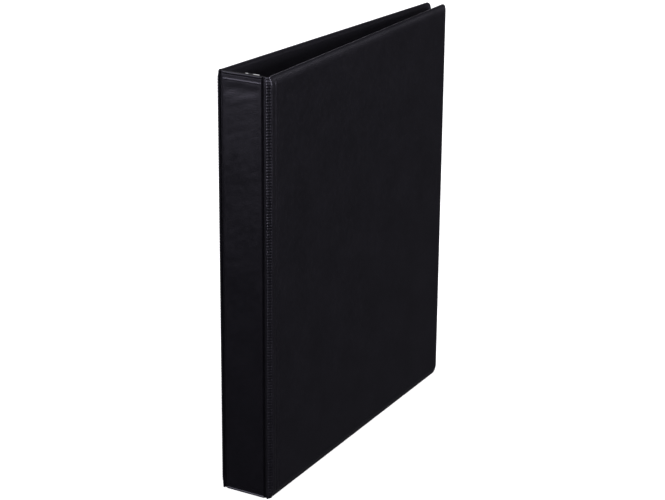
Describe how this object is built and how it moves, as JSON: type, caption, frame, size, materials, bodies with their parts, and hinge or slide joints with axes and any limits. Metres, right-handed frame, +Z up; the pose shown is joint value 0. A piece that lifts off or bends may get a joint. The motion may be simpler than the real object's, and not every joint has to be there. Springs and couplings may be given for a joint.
{
  "type": "ring binder",
  "caption": "Vinyl ring binder with stiff covers on welded hinges and a steel ring mechanism with end triggers on the spine.",
  "frame": {"origin": "middle of the binder's footprint, on the surface it stands on", "axes": "+Z up along the spine, -Y out of the spine's outer face, +X out of the front cover"},
  "size_m": [0.0408, 0.2559, 0.292],
  "materials": {
    "outer_vinyl": "fine leather-like grain, semi-gloss",
    "inner_vinyl": "fine grain, satin",
    "pocket_vinyl": "smooth, satin",
    "hinge_weld": "ribbed heat-seal weld, satin",
    "chipboard": "grey-brown recycled chipboard",
    "housing_steel": "nickel plated, polished",
    "rail_steel": "plain zinc plated",
    "ring_wire": "nickel plated wire, polished",
    "trigger_steel": "nickel plated, polished",
    "rivet_steel": "nickel plated"
  },
  "bodies": {
    "spine": {"spine_outer_vinyl": "outer_vinyl", "spine_board": "chipboard", "spine_inner_liner": "inner_vinyl", "front_hinge_strip": "hinge_weld", "back_hinge_strip": "hinge_weld", "ring_housing": "housing_steel", "mounting_rivets": "rivet_steel", "top_trigger_pin": "rivet_steel", "bottom_trigger_pin": "rivet_steel"},
    "front_cover": {"front_outer_vinyl": "outer_vinyl", "front_board": "chipboard", "front_inner_liner": "inner_vinyl", "front_pocket": "pocket_vinyl"},
    "back_cover": {"back_outer_vinyl": "outer_vinyl", "back_board": "chipboard", "back_inner_liner": "inner_vinyl", "back_pocket": "pocket_vinyl"},
    "front_ring_set": {"front_rail": "rail_steel", "front_ring_top": "ring_wire", "front_ring_middle": "ring_wire", "front_ring_bottom": "ring_wire"},
    "back_ring_set": {"back_rail": "rail_steel", "back_ring_top": "ring_wire", "back_ring_middle": "ring_wire", "back_ring_bottom": "ring_wire"},
    "top_trigger": {"top_trigger": "trigger_steel"},
    "bottom_trigger": {"bottom_trigger": "trigger_steel"}
  },
  "joints": [
    {"name": "front_cover_hinge", "type": "hinge", "parent": "spine", "child": "front_cover", "pos_m": [0.01881, -0.12628, 0.146], "axis": [0, 0, -1], "range_deg": [-0.6, 180]},
    {"name": "back_cover_hinge", "type": "hinge", "parent": "spine", "child": "back_cover", "pos_m": [-0.01881, -0.12628, 0.146], "axis": [0, 0, 1], "range_deg": [-0.6, 180]},
    {"name": "front_rings_open", "type": "hinge", "parent": "spine", "child": "front_ring_set", "pos_m": [0.0074, -0.12297, 0.146], "axis": [0, 0, -1], "range_deg": [0, 20]},
    {"name": "back_rings_open", "type": "hinge", "parent": "spine", "child": "back_ring_set", "pos_m": [-0.0074, -0.12297, 0.146], "axis": [0, 0, 1], "range_deg": [0, 20]},
    {"name": "top_trigger_tilt", "type": "hinge", "parent": "spine", "child": "top_trigger", "pos_m": [0, -0.12127, 0.275], "axis": [1, 0, 0], "range_deg": [0, 27]},
    {"name": "bottom_trigger_tilt", "type": "hinge", "parent": "spine", "child": "bottom_trigger", "pos_m": [0, -0.12127, 0.017], "axis": [-1, 0, 0], "range_deg": [0, 27]}
  ],
  "couplings": [
    {"joint": "back_rings_open", "follows": "front_rings_open", "ratio": 1},
    {"joint": "top_trigger_tilt", "follows": "front_rings_open", "ratio": 1.35},
    {"joint": "bottom_trigger_tilt", "follows": "front_rings_open", "ratio": 1.35}
  ]
}
